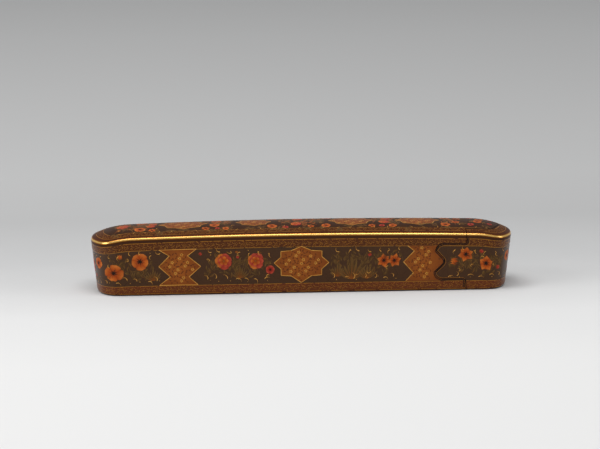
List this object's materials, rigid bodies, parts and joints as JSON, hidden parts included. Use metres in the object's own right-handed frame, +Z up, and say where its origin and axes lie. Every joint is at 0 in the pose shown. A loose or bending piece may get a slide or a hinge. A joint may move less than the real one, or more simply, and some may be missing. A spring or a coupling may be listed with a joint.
{
  "type": "pen box",
  "caption": "Long lacquered pen box with rounded ends and a domed top, whose fitted drawer of pens and ink slides out of one end.",
  "frame": {"origin": "under the middle of the closed box, on the surface it stands on", "axes": "+X along the box towards the end that slides out, +Z up"},
  "size_m": [0.2336, 0.0396, 0.0367],
  "materials": {
    "painted_lacquer": "gloss",
    "dark_lacquer": "satin",
    "brass": "satin",
    "silk": "matte",
    "reed": "satin",
    "bone": "satin",
    "steel": "brushed"
  },
  "bodies": {
    "case": {"case_shell": "painted_lacquer"},
    "drawer": {"drawer_end_cap": "painted_lacquer", "drawer_tray": "dark_lacquer", "tray_partition": "dark_lacquer", "inkwell_body": "brass", "inkwell_top_plate": "brass", "inkwell_hinge_pin": "brass", "ink_wad": "silk", "reed_pen_1": "reed", "reed_pen_2": "reed", "reed_pen_3": "reed", "penknife_handle": "bone", "penknife_ferrule": "brass", "penknife_blade": "steel", "nib_rest": "bone", "spoon_bowl": "brass", "spoon_handle": "brass"},
    "lid": {"inkwell_lid": "brass", "lid_knob": "brass"}
  },
  "joints": [
    {"name": "drawer_slide", "type": "slide", "parent": "case", "child": "drawer", "axis": [1, 0, 0], "range_m": [0, 0.205]},
    {"name": "inkwell_lid_hinge", "type": "hinge", "parent": "drawer", "child": "lid", "pos_m": [0.0725, 0, 0.02305], "axis": [0, -1, 0], "range_deg": [0, 95]}
  ],
  "couplings": [
    {"joint": "inkwell_lid_hinge", "follows": "drawer_slide", "rad_per_m": 8}
  ]
}
